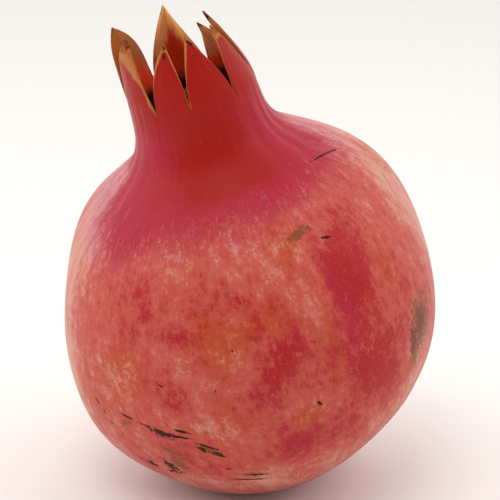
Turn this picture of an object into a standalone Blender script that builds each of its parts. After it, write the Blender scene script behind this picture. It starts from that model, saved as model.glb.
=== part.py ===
"""A ripe pomegranate, picked whole, resting on a small flat with its crown up and leaning.

Metres, +Z up. The origin is the middle of the flat that the fruit rests on. The rind, its neck and the
crown's eight lobes grew as one piece, so they are one solid. The dried stamens stand in the crown's cup,
and the stub of the cut stem sits in its dimple underneath.

The fruit has a frame of its own: its axis runs up from the stem end through the crown, heights are
measured along that axis from the middle of the body, and azimuths go round it in degrees, 0 towards -Y
and 90 towards +X.
"""

import math
import random

import bmesh
import bpy
import numpy as np
from mathutils import Matrix, Vector

# Body: a near sphere, its crown end a little flatter than its stem end
BODY_RADIUS = 0.0421
BODY_TOP = 0.0425
BODY_BOTTOM = 0.0435

# How the fruit rests: its axis turned about X, then about Y, and where the middle of the body is
LEAN_X = math.radians(7.8)
LEAN_Y = math.radians(-15.7)
BODY_CENTRE = (0.0015, 0.0007, 0.0423)

# Broad bulges and flats of the body: azimuth, latitude and spread in degrees, height
BULGES = (
    (112, 30, 23, 0.0027),
    (-73, -22, 22, 0.0023),
    (-112, 46, 15, 0.0016),
    (-95, 20, 12, -0.0008),
    (52, -56, 24, -0.0017),
    (-44, -54, 12, 0.0004),
)

# Dimple of the stem
DIMPLE_DEPTH = 0.0035
DIMPLE_RADIUS = 0.0062

# Neck: a tube that flares into the body, set a little to one side, its fillet widest at one azimuth
NECK_RADIUS = 0.0136
NECK_FLARE = 0.0016
FLARE_HEIGHT = 0.0070
FLARE_LOWEST = 0.0300
NECK_BLEND = 0.0100
BLEND_SWING = 0.0018
BLEND_WIDEST = 60
CROWN_SHIFT = 0.0020
SHIFT_START, SHIFT_END = 0.020, 0.050

# Notches between the lobes: azimuth, height
NOTCHES = (
    (-33, 0.0530),
    (0, 0.0532),
    (44, 0.0520),
    (88, 0.0525),
    (120, 0.0540),
    (162, 0.0530),
    (217, 0.0530),
    (270, 0.0530),
)

# Lobes, each from its notch to the next: azimuth, height and radius of the tip, how full the left and the
# right edge are, and how late the lobe curls in
LOBES = (
    (-10, 0.0676, 0.0100, 4.0, 2.2, 1.3),
    (16, 0.0681, 0.0100, 2.2, 1.9, 1.3),
    (66, 0.0670, 0.0090, 2.2, 1.8, 1.15),
    (112, 0.0683, 0.0075, 2.0, 2.5, 1.7),
    (142, 0.0653, 0.0080, 2.2, 2.2, 1.5),
    (189, 0.0704, 0.0090, 1.3, 2.2, 1.3),
    (244, 0.0692, 0.0146, 3.2, 2.8, 1.3),
    (308, 0.0702, 0.0121, 3.0, 1.2, 1.3),
)
EDGE_TAPER = 0.12
WALL_AT_NOTCH = 0.0022
WALL_AT_TIP = 0.0009

# Cup inside the neck
CUP_FLOOR = 0.0440
CUP_SQUARENESS = 5.0

# Mesh of the rind
COLUMN_DEGREES = 7.5
BODY_ROWS = 36
LOBE_ROWS = 8
CUP_ROWS = 7
MERGE = 1e-6

# Dried stamens: rings of filaments as radius and count, on a thin disc, round the thicker style
STAMEN_SEED = 11
STAMEN_RINGS = ((0.0026, 6), (0.0048, 11), (0.0069, 16))
STAMEN_DISC_RADIUS = 0.0080
STAMEN_DISC_THICKNESS = 0.0011
STAMEN_LIFT = 0.0006
FILAMENT_RADIUS = 0.00035
FILAMENT_HEIGHT = (0.0055, 0.0085)
FILAMENT_SWAY = 0.0011
ANTHER_SWELL = 2.3
STYLE_RADIUS = 0.0006
STYLE_HEIGHT = 0.0078

STYLE_SWAY = 0.0004
DISC_TAPER = 0.94

# Stub of the stem
STEM_RADIUS = 0.0024
STEM_FLARE = 1.12
STEM_LENGTH = 0.0029
STEM_SIDES = 14
STEM_RIM = 0.0003
GAP = 0.0003

# Finishes: name, sRGB colour, roughness
RIND = ("rind", "#B23A3E", 0.42)
DRIED_STAMENS = ("dried stamens", "#7A4A26", 0.8)
CUT_STEM = ("cut stem wood", "#6B4A30", 0.85)


def linear(hex_colour):
    """An sRGB hex colour as linear red, green, blue and alpha."""
    parts = [int(hex_colour[i : i + 2], 16) / 255 for i in (1, 3, 5)]
    return [c / 12.92 if c <= 0.04045 else ((c + 0.055) / 1.055) ** 2.4 for c in parts] + [1.0]


def finish(name, hex_colour, roughness):
    """A plain Principled material."""
    material = bpy.data.materials.new(name)
    material.use_nodes = True
    shader = material.node_tree.nodes["Principled BSDF"]
    shader.inputs["Base Color"].default_value = linear(hex_colour)
    shader.inputs["Roughness"].default_value = roughness
    shader.inputs["Metallic"].default_value = 0.0
    material.diffuse_color = linear(hex_colour)
    return material


def smooth_max(a, b, width):
    """The larger of two values, rounded off where they differ by less than width."""
    near = np.maximum(width - np.abs(a - b), 0) / width
    return np.maximum(a, b) + near * near * width / 4


def neck_radius(height):
    """Outer radius of the neck, which flares downwards."""
    above_body = np.maximum(height, FLARE_LOWEST) - BODY_TOP
    return NECK_RADIUS + NECK_FLARE * np.exp(-above_body / FLARE_HEIGHT)


def body_profile(azimuth, top, rows):
    """Radius and height of evenly spaced rows from the stem's pole up the outside to the height top."""
    blend = NECK_BLEND + BLEND_SWING * math.cos(math.radians(azimuth - BLEND_WIDEST))
    latitude = np.linspace(-math.pi / 2, math.pi / 2, 700)
    below = latitude < 0
    radius = BODY_RADIUS * np.cos(latitude)
    height = np.where(below, BODY_BOTTOM, BODY_TOP) * np.sin(latitude)
    height = height + DIMPLE_DEPTH * np.exp(-((radius / DIMPLE_RADIUS) ** 2)) * below
    radius = np.where(below, radius, smooth_max(radius, neck_radius(height), blend))
    tube = np.linspace(height[-1], top, 80)[1:]
    radius = np.append(radius, neck_radius(tube))
    height = np.append(height, tube)
    along = np.append(0, np.cumsum(np.hypot(np.diff(radius), np.diff(height))))
    even = np.linspace(0, along[-1], rows)
    return np.interp(even, along, radius), np.interp(even, along, height)


def crown_shift(height):
    """How far the neck and crown are set to one side at a height."""
    up = np.clip((height - SHIFT_START) / (SHIFT_END - SHIFT_START), 0, 1)
    return CROWN_SHIFT * up * up * (3 - 2 * up)


def in_world(radius, azimuth, height):
    """Points given in the fruit's frame, with the bulges, the neck's shift and the lean put in."""
    turn = np.radians(azimuth)
    points = np.stack(np.broadcast_arrays(radius * np.sin(turn), -radius * np.cos(turn), height), axis=-1)
    outward = points / np.maximum(np.linalg.norm(points, axis=-1, keepdims=True), MERGE)
    bulge = np.zeros(points.shape[:-1])
    for azimuth_of, latitude, spread, rise in BULGES:
        a, b = math.radians(azimuth_of), math.radians(latitude)
        middle = np.array([math.sin(a) * math.cos(b), -math.cos(a) * math.cos(b), math.sin(b)])
        away = np.degrees(np.arccos(np.clip(outward @ middle, -1, 1)))
        bulge += rise * np.exp(-((away / spread) ** 2))
    shift = crown_shift(points[..., 2])
    points = points + outward * bulge[..., None]
    points[..., 0] += shift
    return points @ np.array(fruit_frame().to_3x3()).T + np.array(BODY_CENTRE)


def fruit_frame():
    """Matrix from the fruit's frame to the world."""
    lean = Matrix.Rotation(LEAN_Y, 4, "Y") @ Matrix.Rotation(LEAN_X, 4, "X")
    return Matrix.Translation(BODY_CENTRE) @ lean


def add_sheet(bm, points):
    """A grid of faces laid over an array of points, rows by columns."""
    rows, columns = points.shape[:2]
    made = bmesh.ops.create_grid(bm, x_segments=columns - 1, y_segments=rows - 1, size=0.5)
    for vert, point in zip(made["verts"], points.reshape(-1, 3)):
        vert.co = point


def add_lobe(bm, index):
    """One lobe with the part of the neck, body and cup below it: outside, inside and its two free edges."""
    tip_azimuth, tip_height, tip_radius, full_left, full_right, curl = LOBES[index]
    left_azimuth, left_height = NOTCHES[index]
    right_azimuth, right_height = NOTCHES[(index + 1) % len(NOTCHES)]
    if right_azimuth < left_azimuth:
        right_azimuth += 360
    columns = round((right_azimuth - left_azimuth) / COLUMN_DEGREES) + 1
    across = np.linspace(0, 1, columns)
    azimuth = left_azimuth + (right_azimuth - left_azimuth) * across
    notch = left_height + (right_height - left_height) * across

    # Lobe, from the notches' height at rise 0 to its tip at rise 1
    rise = np.linspace(0, 1, LOBE_ROWS + 1)[:, None]
    left = EDGE_TAPER * rise + (1 - EDGE_TAPER) * rise**full_left
    right = EDGE_TAPER * rise + (1 - EDGE_TAPER) * rise**full_right
    lobe_azimuth = azimuth + (tip_azimuth - azimuth) * (left + (right - left) * across)
    lobe_height = notch + (tip_height - notch) * rise
    lobe_outer = neck_radius(notch) + (tip_radius - neck_radius(notch)) * rise**curl
    lobe_inner = lobe_outer - (WALL_AT_NOTCH + (WALL_AT_TIP - WALL_AT_NOTCH) * rise)

    # Body and neck below it
    profiles = [body_profile(turn, top, BODY_ROWS) for turn, top in zip(azimuth, notch)]
    body_radius = np.array([radius for radius, _ in profiles]).T
    body_height = np.array([height for _, height in profiles]).T

    # Cup: a bowl with a nearly flat floor
    slope = np.linspace(0, math.pi / 2, CUP_ROWS + 1)[:, None]
    cup_radius = lobe_inner[0] * np.cos(slope) ** (2 / CUP_SQUARENESS)
    cup_radius[-1] = 0
    cup_height = notch - (notch - CUP_FLOOR) * np.sin(slope) ** (2 / CUP_SQUARENESS)

    outer = in_world(lobe_outer, lobe_azimuth, lobe_height)
    inner = in_world(lobe_inner, lobe_azimuth, lobe_height)
    add_sheet(bm, in_world(body_radius, azimuth, body_height))
    add_sheet(bm, outer)
    add_sheet(bm, inner)
    add_sheet(bm, in_world(cup_radius, azimuth, cup_height))
    for edge in (0, -1):
        add_sheet(bm, np.stack([outer[:, edge], inner[:, edge]], axis=1))


def make_fruit():
    """Rind, neck and crown in one solid, cut level where it rests."""
    bm = bmesh.new()
    for index in range(len(LOBES)):
        add_lobe(bm, index)
    bmesh.ops.remove_doubles(bm, verts=bm.verts, dist=MERGE)
    bmesh.ops.recalc_face_normals(bm, faces=bm.faces)
    everything = bm.verts[:] + bm.edges[:] + bm.faces[:]
    ground, up = (0, 0, 0), (0, 0, 1)
    cut = bmesh.ops.bisect_plane(bm, geom=everything, plane_co=ground, plane_no=up, clear_inner=True)
    rim = [item for item in cut["geom_cut"] if isinstance(item, bmesh.types.BMEdge)]
    bmesh.ops.contextual_create(bm, geom=rim)
    bmesh.ops.recalc_face_normals(bm, faces=bm.faces)
    mesh = bpy.data.meshes.new("fruit")
    bm.to_mesh(mesh)
    bm.free()
    mesh.shade_smooth()
    mesh.set_sharp_from_angle(angle=math.radians(50))
    return bpy.data.objects.new("fruit", mesh)


def strand(name, points, radii, depth):
    """A closed round strand through points, as a mesh: a curve with a bevel, its caps welded."""
    curve = bpy.data.curves.new(name, "CURVE")
    curve.dimensions = "3D"
    curve.bevel_depth = depth
    curve.bevel_resolution = 0
    curve.use_fill_caps = True
    spline = curve.splines.new("POLY")
    spline.points.add(len(points) - 1)
    for point, place, radius in zip(spline.points, points, radii):
        point.co = (*place, 1)
        point.radius = radius
    guide = bpy.data.objects.new(name, curve)
    bpy.context.scene.collection.objects.link(guide)
    graph = bpy.context.evaluated_depsgraph_get()
    mesh = bpy.data.meshes.new_from_object(guide.evaluated_get(graph))
    bpy.data.objects.remove(guide)
    bm = bmesh.new()
    bm.from_mesh(mesh)
    bmesh.ops.remove_doubles(bm, verts=bm.verts, dist=MERGE)
    bmesh.ops.recalc_face_normals(bm, faces=bm.faces)
    bm.to_mesh(mesh)
    bm.free()
    return bpy.data.objects.new(name, mesh)


def filament(draw, ring_radius, azimuth):
    """A dried stamen: a thin bent stalk from inside the disc up to its anther."""
    height = draw.uniform(*FILAMENT_HEIGHT)
    outward = Vector((math.sin(azimuth), -math.cos(azimuth), 0))
    sideways = Vector((math.cos(azimuth), math.sin(azimuth), 0))
    sway = outward * draw.uniform(-FILAMENT_SWAY, FILAMENT_SWAY * 0.3)
    sway += sideways * draw.uniform(-FILAMENT_SWAY, FILAMENT_SWAY)
    steps = (0, 0.4, 0.75, 0.84, 0.93, 1.0)
    radii = (1.15, 1.0, 0.9, ANTHER_SWELL * 0.85, ANTHER_SWELL, ANTHER_SWELL * 0.5)
    root = outward * ring_radius + Vector((0, 0, STAMEN_DISC_THICKNESS / 2))
    points = [root + sway * step**2 + Vector((0, 0, height * step)) for step in steps]
    return strand("filament", points, radii, FILAMENT_RADIUS)


def style():
    """The dead style in the middle, with its knob."""
    steps = (0, 0.5, 0.82, 0.92, 1.0)
    radii = (1.4, 1.0, 1.0, 1.7, 1.1)
    root = Vector((0, 0, STAMEN_DISC_THICKNESS / 2))
    points = [root + Vector((STYLE_SWAY * step, 0, STYLE_HEIGHT * step)) for step in steps]
    return strand("style", points, radii, STYLE_RADIUS)


def make_stamens():
    """The tuft of dried stamens and the style, joined in one solid on their disc."""
    draw = random.Random(STAMEN_SEED)
    tuft = bpy.data.collections.new("tuft")
    bpy.context.scene.collection.children.link(tuft)
    tuft.objects.link(style())
    for ring_radius, count in STAMEN_RINGS:
        for k in range(count):
            azimuth = 2 * math.pi * (k + draw.uniform(-0.2, 0.2)) / count
            tuft.objects.link(filament(draw, ring_radius, azimuth))

    bm = bmesh.new()
    bmesh.ops.create_cone(
        bm,
        cap_ends=True,
        segments=24,
        radius1=STAMEN_DISC_RADIUS,
        radius2=STAMEN_DISC_RADIUS * DISC_TAPER,
        depth=STAMEN_DISC_THICKNESS,
        matrix=Matrix.Translation((0, 0, STAMEN_DISC_THICKNESS / 2)),
    )
    mesh = bpy.data.meshes.new("stamens")
    bm.to_mesh(mesh)
    bm.free()
    stamens = bpy.data.objects.new("stamens", mesh)
    bpy.context.scene.collection.objects.link(stamens)
    union = stamens.modifiers.new("join", "BOOLEAN")
    union.operation = "UNION"
    union.operand_type = "COLLECTION"
    union.collection = tuft
    graph = bpy.context.evaluated_depsgraph_get()
    joined = bpy.data.meshes.new_from_object(stamens.evaluated_get(graph))
    stamens.modifiers.clear()
    stamens.data = joined
    bpy.context.scene.collection.objects.unlink(stamens)
    for piece in list(tuft.objects):
        bpy.data.objects.remove(piece)
    bpy.data.collections.remove(tuft)
    joined.shade_smooth()
    joined.set_sharp_from_angle(angle=math.radians(60))
    return stamens


def make_stem_stub():
    """The cut stem: a short woody peg, wider at its cut end, with its rim worn round."""
    bm = bmesh.new()
    made = bmesh.ops.create_cone(
        bm,
        cap_ends=True,
        segments=STEM_SIDES,
        radius1=STEM_RADIUS * STEM_FLARE,
        radius2=STEM_RADIUS,
        depth=STEM_LENGTH,
    )
    rims = [edge for edge in bm.edges if abs(edge.verts[0].co.z - edge.verts[1].co.z) < MERGE]
    bmesh.ops.bevel(bm, geom=rims, offset=STEM_RIM, segments=1, affect="EDGES")
    bmesh.ops.recalc_face_normals(bm, faces=bm.faces)
    mesh = bpy.data.meshes.new("stem_stub")
    bm.to_mesh(mesh)
    bm.free()
    mesh.shade_smooth()
    mesh.set_sharp_from_angle(angle=math.radians(40))
    return bpy.data.objects.new("stem_stub", mesh)


def main():
    for old in list(bpy.data.objects):
        bpy.data.objects.remove(old)
    collection = bpy.data.collections.new("pomegranate")
    bpy.context.scene.collection.children.link(collection)

    axis = bpy.data.objects.new("fruit_axis", None)
    axis.empty_display_size = 0.02
    axis.matrix_world = fruit_frame()
    collection.objects.link(axis)

    fruit = make_fruit()
    fruit.data.materials.append(finish(*RIND))
    collection.objects.link(fruit)

    stamens = make_stamens()
    stamens.data.materials.append(finish(*DRIED_STAMENS))
    stamens.parent = axis
    stamens.location = (crown_shift(CUP_FLOOR), 0, CUP_FLOOR + STAMEN_LIFT)
    collection.objects.link(stamens)

    stem = make_stem_stub()
    stem.data.materials.append(finish(*CUT_STEM))
    stem.parent = axis
    stem.location = (0, 0, DIMPLE_DEPTH - BODY_BOTTOM - GAP - STEM_LENGTH / 2)
    collection.objects.link(stem)


main()
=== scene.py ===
"""Looks of a ripe pomegranate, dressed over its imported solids.

The rind with its neck and crown is one fine surface, and the dried stamens and the cut stem are pieces of
their own. Every piece is worked out in the fruit's own frame: its axis runs up from the stem end through
the crown, heights are measured along that axis from the middle of the body, and azimuths go round it in
degrees, 0 towards -Y and 90 towards +X. Metres, +Z up, and the fruit rests at z = 0.
"""

import itertools
import math

import bpy
import numpy as np
from bpy.props import FloatProperty, FloatVectorProperty, IntProperty, PointerProperty
from mathutils import Matrix, Vector


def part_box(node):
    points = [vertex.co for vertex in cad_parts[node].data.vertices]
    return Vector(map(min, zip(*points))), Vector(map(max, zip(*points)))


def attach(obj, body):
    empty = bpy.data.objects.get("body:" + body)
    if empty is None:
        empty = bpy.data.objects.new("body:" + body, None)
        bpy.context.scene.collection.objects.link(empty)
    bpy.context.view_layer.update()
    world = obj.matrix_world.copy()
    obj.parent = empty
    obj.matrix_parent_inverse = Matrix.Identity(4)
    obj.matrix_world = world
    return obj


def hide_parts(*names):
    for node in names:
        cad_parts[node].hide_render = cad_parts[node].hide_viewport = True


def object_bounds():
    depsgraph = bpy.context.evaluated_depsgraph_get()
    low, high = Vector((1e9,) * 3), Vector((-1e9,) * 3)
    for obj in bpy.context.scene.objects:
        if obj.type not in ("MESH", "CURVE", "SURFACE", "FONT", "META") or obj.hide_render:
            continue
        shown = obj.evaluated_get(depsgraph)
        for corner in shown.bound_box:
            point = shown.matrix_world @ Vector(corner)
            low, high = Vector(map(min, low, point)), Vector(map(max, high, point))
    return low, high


bl_info = {
    "name": "Pomegranate",
    "version": (1, 0, 0),
    "blender": (4, 5, 0),
    "location": "View3D > Sidebar > Pomegranate",
    "description": "Builds a ripe pomegranate with its dried crown, its stamens and its cut stem",
    "category": "Add Mesh",
}

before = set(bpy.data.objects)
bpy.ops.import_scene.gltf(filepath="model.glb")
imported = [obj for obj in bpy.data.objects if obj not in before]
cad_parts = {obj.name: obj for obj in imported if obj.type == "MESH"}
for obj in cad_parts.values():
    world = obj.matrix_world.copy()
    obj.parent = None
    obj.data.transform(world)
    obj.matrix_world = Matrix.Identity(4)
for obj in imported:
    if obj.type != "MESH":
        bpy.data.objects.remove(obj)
CAD_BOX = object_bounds()
HEIGHT = CAD_BOX[1].z

# Form of the fruit, as in the part's source: body, lean and place
BODY_RADIUS = 0.0421
BODY_TOP = 0.0425
BODY_BOTTOM = 0.0435
LEAN_X = math.radians(7.8)
LEAN_Y = math.radians(-15.7)
BODY_CENTRE = (0.0015, 0.0007, 0.0423)

# Broad bulges and flats: azimuth, latitude and spread in degrees, height
BULGES = (
    (112, 30, 23, 0.0027),
    (-73, -22, 22, 0.0023),
    (-112, 46, 15, 0.0016),
    (-95, 20, 12, -0.0008),
    (52, -56, 24, -0.0017),
    (-44, -54, 12, 0.0004),
)
DIMPLE_DEPTH = 0.0035
DIMPLE_RADIUS = 0.0062

# Neck, its flare and its fillet into the body
NECK_RADIUS = 0.0136
NECK_FLARE = 0.0016
FLARE_HEIGHT = 0.0070
FLARE_LOWEST = 0.0300
NECK_BLEND = 0.0100
BLEND_SWING = 0.0018
BLEND_WIDEST = 60
CROWN_SHIFT = 0.0020
SHIFT_START, SHIFT_END = 0.020, 0.050

# Notches between the lobes: azimuth, height
NOTCHES = (
    (-33, 0.0530),
    (0, 0.0532),
    (44, 0.0520),
    (88, 0.0525),
    (120, 0.0540),
    (162, 0.0530),
    (217, 0.0530),
    (270, 0.0530),
)
MEAN_NOTCH = 0.0530

# Lobes, each from its notch to the next: azimuth, height and radius of the tip, how full the left and the
# right edge are, and how late the lobe curls in
LOBES = (
    (-10, 0.0676, 0.0100, 4.0, 2.2, 1.3),
    (16, 0.0681, 0.0100, 2.2, 1.9, 1.3),
    (66, 0.0670, 0.0090, 2.2, 1.8, 1.15),
    (114, 0.0683, 0.0078, 5.0, 6.0, 1.35),
    (142, 0.0653, 0.0080, 2.2, 2.2, 1.5),
    (189, 0.0704, 0.0090, 1.3, 2.2, 1.3),
    (244, 0.0692, 0.0146, 4.4, 3.4, 1.3),
    (308, 0.0702, 0.0121, 3.0, 1.2, 1.3),
)

# How each lobe has dried outside: depth of its dry tip, and width of its dry left and right margins
DRYING = (
    (0.0022, 0.0006, 0.0005),
    (0.0012, 0.0006, 0.0002),
    (0.0042, 0.0002, 0.0005),
    (0.0090, 0.0015, 0.0015),
    (0.0050, 0.0010, 0.0010),
    (0.0040, 0.0008, 0.0008),
    (0.0070, 0.0012, 0.0012),
    (0.0064, 0.0004, 0.0072),
)

# The lobes' inner faces: how pale their dry top is, which is painted light set lobe by lobe for how much
# light each inner face catches, and how far up their middle stays orange-red
LININGS = (
    (0.5, 0.2),
    (0.5, 0.2),
    (0.5, 0.2),
    (0.3, 0.0),
    (1.0, 0.0),
    (0.95, 0.36),
    (0.0, 0.15),
    (0.2, 0.0),
)
LOWEST_RED = 1.12
DRY_RIM = 0.0003
EDGE_TAPER = 0.12
WALL_AT_NOTCH = 0.0022
WALL_AT_TIP = 0.0009
THIN_MARGIN = 0.84
THIN_NOTCH, NOTCH_DEGREES = 0.6, 6.0
CUP_FLOOR = 0.0440
CUP_SQUARENESS = 5.0

# Stamens and stem, as in the part's source
STAMEN_DISC_RADIUS = 0.0080
STAMEN_DISC_THICKNESS = 0.0011
STAMEN_LIFT = 0.0006
TUFT_RADIUS = 0.0071
STAMEN_HEIGHTS = (0.0050, 0.0083)
HOOK_LENGTH = 0.00075
STYLE_RADIUS, STYLE_HEIGHT, STYLE_LEAN = 0.00042, 0.0078, 0.0004
STEM_RADIUS = 0.0024
STEM_FLARE = 1.12
STEM_LENGTH = 0.0029
STEM_SIDE_POWER, STEM_FACE_POWER = 0.16, 0.30
GAP = 0.0003

# Mesh of the rind
COLUMN_DEGREES = 1.0
BODY_ROWS = 158
LOBE_ROWS = 30
CUP_ROWS = 20
RIM_STEPS = 5
EASE_PASSES = 60
EASE_START, EASE_FULL = 0.022, 0.032
EASE_FRONT = 10
MERGE = 1e-6
MOST_DEPARTURE = 0.0015

# Folds where the neck flares into the body: azimuth, width in degrees, depth
FOLDS = (
    (-118, 5, 0.00035),
    (-98, 4, 0.00045),
    (-84, 5, 0.00030),
    (-66, 4, 0.00025),
    (48, 4, 0.00020),
    (66, 4, 0.00040),
    (78, 5, 0.00045),
    (97, 4, 0.00035),
    (131, 5, 0.00030),
    (170, 6, 0.00035),
    (205, 5, 0.00030),
)
FOLD_HEIGHT, FOLD_REACH = 0.0400, 0.0075

# Slow waves of the rind, fine puckers of the neck and wrinkles of the lobes: their size, and how far the
# first two are drawn out
WAVE_CELL, PUCKER_CELL = 0.0080, 0.0021
DRAWN_OUT = 0.35
WRINKLE_CELL = 0.0010

# Patches of the front's colouring: azimuth, latitude, half width and half height in degrees, how crimson,
# how orange
TONES = (
    (41, 26, 8, 9, 1.2, 0.0),
    (36, 16, 8, 8, 1.0, 0.0),
    (36, -2, 11, 13, 1.1, 0.0),
    (36, -16, 9, 7, 0.4, 0.0),
    (13, 12, 4, 5, 1.1, 0.0),
    (7, 4, 5, 5, 0.9, 0.0),
    (0, -1, 7, 5, 0.9, 0.0),
    (9, -21, 11, 6, 1.0, 0.1),
    (3.5, 28, 2.5, 3, 1.0, 0.2),
    (-18, 21, 8, 3.5, 1.0, 0.0),
    (-28, 7, 6, 7, 0.6, 0.0),
    (-22, 3, 4, 8, 0.7, 0.0),
    (-22, -27, 6, 5, 0.6, 0.0),
    (-34, 31, 8, 9, 0.6, 0.0),
    (25, 18, 5, 7, -0.95, 0.2),
    (22, 37, 8, 6, -0.4, 0.5),
    (25, 3, 4, 9, -0.3, 0.9),
    (1, 42, 12, 5, -0.2, 0.3),
    (-22, 42, 11, 6, -0.45, 0.0),
    (-18, -8, 9, 5, -0.5, 0.2),
    (-8, -4, 5, 6, -0.2, 0.2),
    (-40, 12, 8, 9, -0.5, 1.0),
    (-52, 0, 9, 14, -0.2, 0.8),
    (-70, -5, 10, 16, -0.8, 0.3),
    (13, -12, 6, 4, -0.4, 1.2),
    (54, 17, 5, 12, -0.1, 1.1),
    (5, 20, 11, 7, 0.1, 1.6),
    (-4, 12, 5, 6, 0.0, 0.8),
    (-9, 20, 8, 8, -0.1, 0.9),
    # The next four patches are pale on the left and right outline and on the shoulders: partly the rind's
    # bloom, partly a painted sheen of grazing reflection
    (-78, 26, 13, 30, -1.6, 0.0),
    (88, 30, 12, 16, -1.2, 0.4),
    (-112, 55, 34, 22, -1.1, 0.0),
    (118, 58, 30, 20, -1.1, 0.0),
    (60, 41, 14, 8, 0.4, 0.0),
    (58, -14, 6, 14, -0.5, 0.0),
    (-8, -38, 34, 10, -1.0, 0.3),
    (-6, 8, 15, 12, -0.3, 0.15),
    (50, -28, 12, 9, -0.8, 0.1),
    (84, 10, 8, 14, -0.9, 0.2),
)

# The neck's colour: where it starts and is full, the azimuth of the middle of the front, and the one
# where it comes lower on the left, with how wide and how much
NECK_START, NECK_FULL = 0.0255, 0.0375
FRONT, LEFT = 8, -46
LEFT_WIDTH, LEFT_DROP = 13, 0.0035

# Patches drawn at random for the hidden side
SPARE_TONES = 44
SPARE_SEED = 5

# Stage: softboxes by azimuth, elevation, size in the fruit's heights and share of the power, then the
# frame, and where the middle of the body stands in it
SOFTBOXES = (
    ("softbox left", -75, 35, 4, 1.0),
    ("softbox right", 70, 45, 4, 1.0),
    ("softbox front", -20, 62, 3, 1.5),
)
LIGHT_DISTANCE = 6 * HEIGHT
NEAR_SHARE = 0.25
FLOOR_SIZE, FLOOR_GAP = 60 * HEIGHT, 0.00002
SENSOR_WIDTH = 36
FRAME_PIXELS = 500
PIXELS_LEFT, PIXELS_BELOW = 1, 53


def linear(hex_colour):
    """An sRGB hex colour as linear red, green, blue and alpha."""
    parts = [int(hex_colour[i : i + 2], 16) / 255 for i in (1, 3, 5)]
    return [c / 12.92 if c <= 0.04045 else ((c + 0.055) / 1.055) ** 2.4 for c in parts] + [1.0]


def colour(name, description, hex_colour):
    """A colour property whose default is an sRGB hex colour."""
    return FloatVectorProperty(
        name=name,
        description=description,
        default=linear(hex_colour),
        subtype="COLOR",
        size=4,
        min=0.0,
        max=1.0,
    )


def length(name, description, default):
    """A length property in metres."""
    return FloatProperty(
        name=name, description=description, default=default, min=0.0, unit="LENGTH", precision=5
    )


def amount(name, description, default, least=0.0):
    """A plain number with a lowest value."""
    return FloatProperty(name=name, description=description, default=default, min=least)


class RindSettings(bpy.types.PropertyGroup):
    """Relief and colours of the rind."""

    fold_depth: amount("Folds", "Strength of the neck's folds", 1.0)
    wave_depth: length("Waves", "Depth of the rind's slow waves", 0.00014)
    wrinkle_depth: length("Wrinkles", "Depth of the wrinkles of the dried lobes", 0.00016)
    ground: colour("Ground", "Salmon ground colour of the body", "#C05247")
    orange: colour("Orange", "Burnt orange of the sunned patches", "#B84824")
    pale: colour("Pale", "Pale flecks and streaks", "#CF8E7C")
    crimson: colour("Crimson", "Crimson of the body's blotches", "#A91B22")
    magenta: colour("Magenta", "Cooler red of the neck's sides and of some blotches", "#AC1F39")
    deep_red: colour("Deep red", "Deepest red, at the front of the neck", "#A01409")
    tan: colour("Tan", "Dried edges of the crown's lobes", "#B8763C")
    ochre: colour("Ochre", "Dried inner faces of the lobes", "#9C5216")
    lining: colour("Lining", "Orange-red inside the lobes", "#D63A14")
    # Pale dry tops of the lobes' inner faces, laid as painted light: more of it on the lobes that look lit
    husk_painted_light: colour("Husk", "Pale dry tops of the shaded lobes' inner faces", "#EFA262")
    cork: colour("Cork", "Corky russet patches", "#7A3F1C")
    # Partly the rind's wax bloom and partly a painted sheen: the pale grazing reflection on the shoulders and
    # the neck's sides
    bloom_and_sheen: colour("Bloom", "Cool pale bloom on the shoulders and below the neck", "#C77F84")
    brown: colour("Brown", "Dark brown of tips and russet marks", "#3C0D01")
    # The cup colour is painted shade: it darkens the floor and lower inner walls of the crown's cup, where
    # shade falls
    cup: colour("Cup", "Dark brown-red at the bottom of the crown's cup", "#2E0D07")


class StamenSettings(bpy.types.PropertyGroup):
    """Count, sizes and colours of the dried stamens."""

    count: IntProperty(name="Stamens", description="Number of dried stamens", default=96, min=1, max=400)
    seed: IntProperty(name="Seed", description="Seed of the draw that places the stamens", default=11)
    filament_radius: length("Filament radius", "Radius of a dried filament", 0.00017)
    stalk: colour("Filament", "Dried filaments", "#9A6232")
    anther: colour("Anther", "Dried anthers", "#4A2A16")


class StemSettings(bpy.types.PropertyGroup):
    """Relief and colours of the cut stem."""

    ridge_depth: length("Bark ridges", "Depth of the bark's ridges", 0.00012)
    bark: colour("Bark", "Grey-brown bark of the stem", "#6A4A33")
    wood: colour("Cut wood", "Weathered cut face", "#9A7450")


class StageSettings(bpy.types.PropertyGroup):
    """Floor, light and camera."""

    floor_colour: colour("Floor", "Pale matte floor", "#F4F3F1")
    elevation: FloatProperty(
        name="Camera elevation",
        description="Angle of the camera above the horizon",
        default=math.radians(18),
        subtype="ANGLE",
    )
    distance: length("Camera distance", "Distance from the camera to the middle of the body", 0.380)
    lens: amount("Lens", "Focal length in millimetres", 120.0, 1.0)
    surround: amount("Surround", "Strength of the white surround", 1.2)
    softbox: amount("Softboxes", "Power of each side light in watts", 0.7)


def smoothstep(low, high, value):
    """0 below low, 1 above high, and 3x^2 - 2x^3 between them."""
    x = np.clip((value - low) / (high - low), 0, 1)
    return x * x * (3 - 2 * x)


def smooth_max(a, b, width):
    """The larger of two values, rounded off where they differ by less than width."""
    near = np.maximum(width - np.abs(a - b), 0) / width
    return np.maximum(a, b) + near * near * width / 4


def bell(offset, width):
    """A bell: 1 at no offset, and exp(-x^2) of the offset in widths."""
    return np.exp(-((offset / width) ** 2))


def signed(angle):
    """An angle in degrees, brought between -180 and 180."""
    return (angle + 180) % 360 - 180


def stacked(*parts):
    """Arrays spread to one shape and set side by side as the parts of points."""
    return np.stack(np.broadcast_arrays(*parts), axis=-1)


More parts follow.
